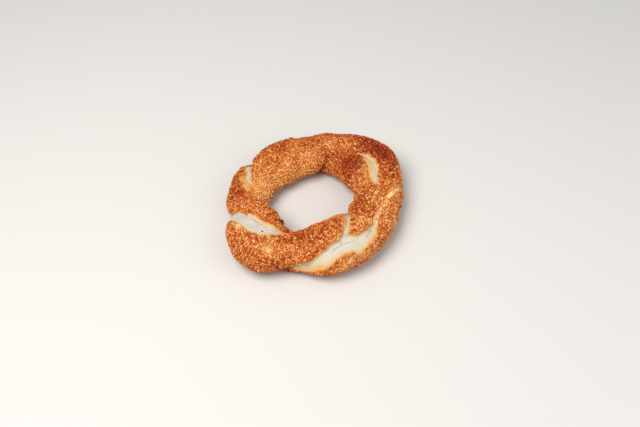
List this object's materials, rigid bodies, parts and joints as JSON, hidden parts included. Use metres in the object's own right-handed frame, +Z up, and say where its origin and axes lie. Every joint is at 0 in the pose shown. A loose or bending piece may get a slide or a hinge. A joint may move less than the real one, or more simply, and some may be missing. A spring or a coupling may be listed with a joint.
{
  "type": "simit",
  "caption": "Round bread ring twisted from two strands, torn open along the twist to show pale crumb, its browned crust covered in sesame seeds.",
  "frame": {"origin": "on the underside, below the middle of the ring's outline", "axes": "+Z up out of the side with the widest tears, which the ring lies under; +X to the right and -Y towards the viewer of the picture"},
  "size_m": [0.1606, 0.1574, 0.04],
  "materials": {
    "crust": "browned bread crust under a dense coat of toasted sesame seeds, with pale torn crumb along the twist"
  },
  "bodies": {
    "root": {"simit": "crust"}
  },
  "joints": []
}
